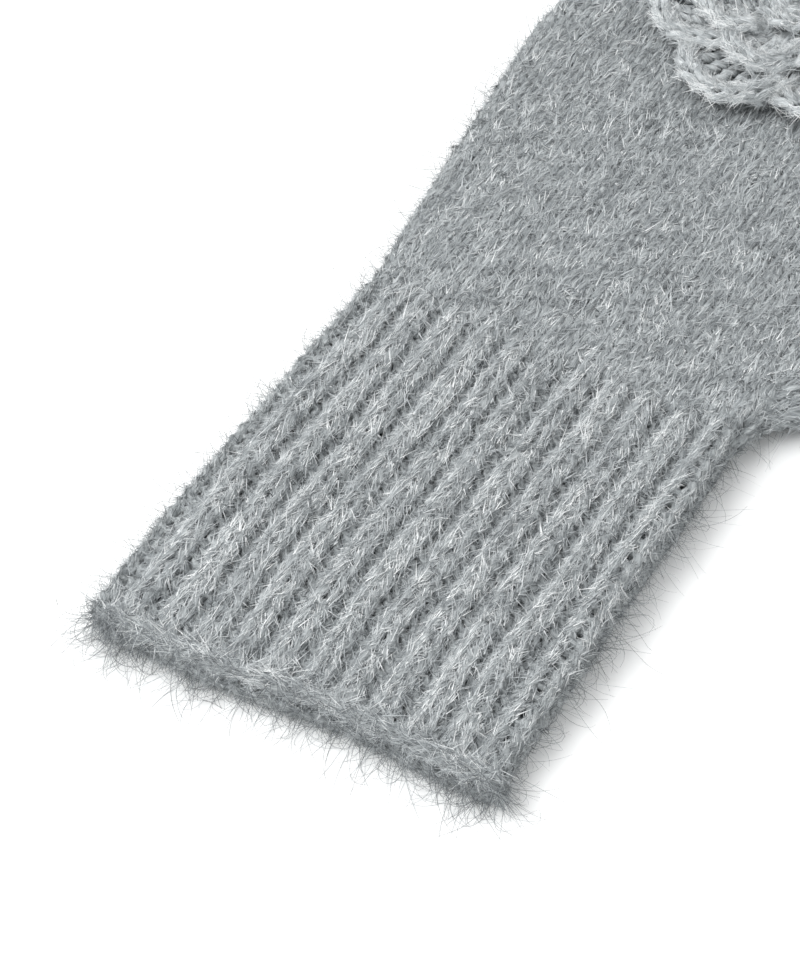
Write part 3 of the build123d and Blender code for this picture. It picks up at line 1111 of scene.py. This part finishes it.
# ---------------------------------------------------------------- the stage
def set_stage(scene):
    bpy.ops.object.select_all(action="DESELECT")
    bpy.ops.mesh.primitive_plane_add(size=6, location=(0, 0, 0))
    floor = bpy.context.object
    floor.name = "floor"
    # Matt white studio paper.
    material, tree = new_material("white_paper")
    paper = {"Base Color": (*sizes().floor_colour, 1), "Roughness": 0.8}
    surface(tree, add_node(tree, "ShaderNodeBsdfPrincipled", paper))
    floor.data.materials.append(material)

    world = bpy.data.worlds.new("white_room")
    scene.world = world
    world.use_nodes = True
    world.node_tree.nodes["Background"].inputs["Color"].default_value = (1, 1, 1, 1)
    world.node_tree.nodes["Background"].inputs["Strength"].default_value = 0.8

    azimuth, elevation, distance = math.radians(30.88), math.radians(48.4), 0.55
    right = Vector((math.cos(azimuth), math.sin(azimuth), 0))
    forward = Vector((-math.sin(azimuth), math.cos(azimuth), 0))
    back = forward * -math.cos(elevation) + Vector((0, 0, math.sin(elevation)))
    target = Vector((*((HOME + (-13.2, 62.0)) * MM), 0))
    data = bpy.data.cameras.new("camera")
    data.sensor_fit = "VERTICAL"
    data.sensor_height = 36
    data.lens = 104.06
    data.clip_start = 0.01
    camera = bpy.data.objects.new("camera", data)
    scene.collection.objects.link(camera)
    camera.location = target + back * distance
    camera.rotation_euler = back.to_track_quat("Z", "Y").to_euler()
    scene.camera = camera

    light = bpy.data.lights.new("window", "AREA")
    light.shape = "RECTANGLE"
    light.size, light.size_y = 0.9, 0.7
    light.energy = 13
    lamp = bpy.data.objects.new("window", light)
    scene.collection.objects.link(lamp)
    lamp.location = target - right * 0.65 - forward * 0.2 + Vector((0, 0, 1.05))
    lamp.rotation_euler = (lamp.location - target).to_track_quat("Z", "Y").to_euler()
    scene.view_settings.view_transform = "Standard"


# ---------------------------------------------------------------- the add-on
class MittenSizes(bpy.types.PropertyGroup):
    rib_yarn: FloatProperty(
        name="Cuff yarn",
        description="Radius of the yarn in the ribbing",
        default=1.2 * MM,
        unit="LENGTH",
    )
    plain_yarn: FloatProperty(
        name="Hand yarn",
        description="Radius of the yarn in the hand",
        default=1.12 * MM,
        unit="LENGTH",
    )
    edge_yarn: FloatProperty(
        name="Edge yarn",
        description="Radius of the yarn in the cast-off edge",
        default=1.15 * MM,
        unit="LENGTH",
    )
    floor_colour: FloatVectorProperty(
        name="Floor",
        description="Colour of the floor",
        default=linear("#fafbfb")[:3],
        subtype="COLOR",
        size=3,
    )


def sizes():
    return bpy.context.scene.mitten_sizes


class MITTENS_OT_knit_cuffs(bpy.types.Operator):
    """Knit both ribbed cuffs"""

    bl_idname = "mittens.knit_cuffs"
    bl_label = "Knit Cuffs"

    def execute(self, context):
        knit_zone("cuff", sizes().rib_yarn / MM)
        return {"FINISHED"}


class MITTENS_OT_knit_hands(bpy.types.Operator):
    """Knit both hands, up to the knuckles"""

    bl_idname = "mittens.knit_hands"
    bl_label = "Knit Hands"

    def execute(self, context):
        knit_zone("hand", sizes().plain_yarn / MM)
        return {"FINISHED"}


class MITTENS_OT_knit_fingers(bpy.types.Operator):
    """Knit both finger ends"""

    bl_idname = "mittens.knit_fingers"
    bl_label = "Knit Finger Ends"

    def execute(self, context):
        knit_zone("fingers", sizes().plain_yarn / MM)
        return {"FINISHED"}


class MITTENS_OT_knit_thumbs(bpy.types.Operator):
    """Knit both thumbs on their gussets"""

    bl_idname = "mittens.knit_thumbs"
    bl_label = "Knit Thumbs"

    def execute(self, context):
        knit_zone("thumb", sizes().plain_yarn / MM)
        return {"FINISHED"}


class MITTENS_OT_cast_off(bpy.types.Operator):
    """Chain the cast-off edge of each cuff"""

    bl_idname = "mittens.cast_off"
    bl_label = "Cast Off Edges"

    def execute(self, context):
        look = sizes().edge_yarn / MM, "brushed_mohair_yarn", "rib_knit"
        for side in SIDES:
            strands("cast_off_chain", side, "cuff", cast_off(), *look, ("cuff_cast_off",))
        return {"FINISHED"}


class MITTENS_OT_line_fabric(bpy.types.Operator):
    """Add the matted inside of the fabric"""

    bl_idname = "mittens.line_fabric"
    bl_label = "Line Fabric"

    def execute(self, context):
        for side in SIDES:
            for zone in ZONES:
                line_zone(zone, side)
        return {"FINISHED"}


class MITTENS_OT_crochet_flowers(bpy.types.Operator):
    """Crochet a flower on the back of each hand"""

    bl_idname = "mittens.crochet_flowers"
    bl_label = "Crochet Flowers"

    def execute(self, context):
        for side in SIDES:
            crochet_flower(side)
        return {"FINISHED"}


class MITTENS_OT_sew_ends(bpy.types.Operator):
    """Draw up the tips, darn in the ends and sew on the flowers"""

    bl_idname = "mittens.sew_ends"
    bl_label = "Sew Ends"

    def execute(self, context):
        for side in SIDES:
            draw_up(side)
            weave_in_ends(side)
            sew_on_flower(side)
        return {"FINISHED"}


class MITTENS_OT_brush_nap(bpy.types.Operator):
    """Raise the short nap over knitting and flowers"""

    bl_idname = "mittens.brush_nap"
    bl_label = "Brush Nap"

    def execute(self, context):
        for zone in ZONES:
            brush_zone(zone)
        brush_flower()
        return {"FINISHED"}


class MITTENS_OT_pull_loose_fibres(bpy.types.Operator):
    """Pull long curling fibres out of sides and edges"""

    bl_idname = "mittens.pull_loose_fibres"
    bl_label = "Pull Loose Fibres"

    def execute(self, context):
        for zone in ZONES:
            parts = haze(zone, np.random.default_rng(ZONES.index(zone) + 70))
            for side in SIDES:
                fibre_piece(f"{zone}_loose_fibres", side, zone, parts, zone_slot(zone))
        return {"FINISHED"}


class MITTENS_OT_set_stage(bpy.types.Operator):
    """Add the floor, soft window light and camera"""

    bl_idname = "mittens.set_stage"
    bl_label = "Set Stage"

    def execute(self, context):
        set_stage(context.scene)
        return {"FINISHED"}


OPERATORS = (
    MITTENS_OT_knit_cuffs,
    MITTENS_OT_knit_hands,
    MITTENS_OT_knit_fingers,
    MITTENS_OT_knit_thumbs,
    MITTENS_OT_cast_off,
    MITTENS_OT_line_fabric,
    MITTENS_OT_crochet_flowers,
    MITTENS_OT_sew_ends,
    MITTENS_OT_brush_nap,
    MITTENS_OT_pull_loose_fibres,
    MITTENS_OT_set_stage,
)


class MITTENS_PT_steps(bpy.types.Panel):
    """Lists the steps in the order in which mittens are made"""

    bl_label = "Knitted Mittens"
    bl_idname = "MITTENS_PT_steps"
    bl_space_type = "VIEW_3D"
    bl_region_type = "UI"
    bl_category = "Mittens"

    def draw(self, context):
        for name in MittenSizes.__annotations__:
            self.layout.prop(context.scene.mitten_sizes, name)
        for operator in OPERATORS:
            self.layout.operator(operator.bl_idname)


def register():
    for cls in (MittenSizes, *OPERATORS, MITTENS_PT_steps):
        bpy.utils.register_class(cls)
    bpy.types.Scene.mitten_sizes = PointerProperty(type=MittenSizes)


def unregister():
    del bpy.types.Scene.mitten_sizes
    for cls in reversed((MittenSizes, *OPERATORS, MITTENS_PT_steps)):
        bpy.utils.unregister_class(cls)


def main():
    register()
    bpy.ops.object.select_all(action="DESELECT")
    bpy.ops.mittens.knit_cuffs()
    bpy.ops.mittens.knit_hands()
    bpy.ops.mittens.knit_fingers()
    bpy.ops.mittens.knit_thumbs()
    bpy.ops.mittens.cast_off()
    bpy.ops.mittens.line_fabric()
    bpy.ops.mittens.crochet_flowers()
    bpy.ops.mittens.sew_ends()
    bpy.ops.mittens.brush_nap()
    bpy.ops.mittens.pull_loose_fibres()
    bpy.ops.mittens.set_stage()


if __name__ == "__main__":
    main()
